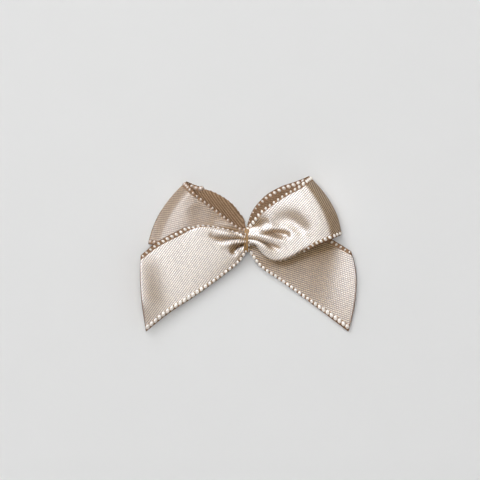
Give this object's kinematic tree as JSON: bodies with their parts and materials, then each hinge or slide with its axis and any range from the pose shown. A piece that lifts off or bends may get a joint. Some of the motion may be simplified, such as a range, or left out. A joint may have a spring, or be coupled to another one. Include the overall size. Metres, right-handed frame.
{
  "type": "satin ribbon gift bow",
  "caption": "Small pre-made satin ribbon bow with two loops and two slant-cut tails, gathered and bound at the middle with thread; lies flat on its back for gluing.",
  "frame": {"origin": "middle of the bow's footprint, on the plane that its back rests on", "axes": "+X across the bow from the left loop to the right loop, +Y towards the top of the loops, +Z out of the front of the bow"},
  "size_m": [0.0308, 0.0222, 0.0046],
  "materials": {
    "satin_ribbon": "champagne polyester satin, sheen along the floats",
    "thread": "twisted polyester sewing thread"
  },
  "bodies": {
    "root": {"front_pleat": "satin_ribbon", "middle_pleat": "satin_ribbon", "back_pleat": "satin_ribbon", "left_tail_root": "satin_ribbon", "right_tail_root": "satin_ribbon", "binding_thread": "thread", "thread_knot": "thread", "thread_end_left": "thread", "thread_end_right": "thread"},
    "left_tail": {"left_tail": "satin_ribbon"},
    "right_tail": {"right_tail": "satin_ribbon"},
    "left_loop": {"left_loop": "satin_ribbon"},
    "right_loop": {"right_loop": "satin_ribbon"}
  },
  "joints": [
    {"name": "left_tail_lift", "type": "hinge", "parent": "root", "child": "left_tail", "pos_m": [-0.00267, 0.00091, 0.00225], "axis": [-0.2755, 0.9092, 0.3122], "range_deg": [0, 60], "stiffness_Nm_per_rad": 0.00005},
    {"name": "right_tail_lift", "type": "hinge", "parent": "root", "child": "right_tail", "pos_m": [0.00523, 0.00046, 0.001], "axis": [-0.227, -0.9736, -0.0239], "range_deg": [0, 17], "stiffness_Nm_per_rad": 0.00005},
    {"name": "left_loop_fan", "type": "hinge", "parent": "root", "child": "left_loop", "pos_m": [-0.00022, 0.00193, 0.0014], "axis": [0, 0, -1], "range_deg": [-2, 6], "stiffness_Nm_per_rad": 0.0001},
    {"name": "right_loop_fan", "type": "hinge", "parent": "root", "child": "right_loop", "pos_m": [-0.00022, 0.00193, 0.0014], "axis": [0, 0, 1], "range_deg": [-2, 6], "stiffness_Nm_per_rad": 0.0001}
  ]
}
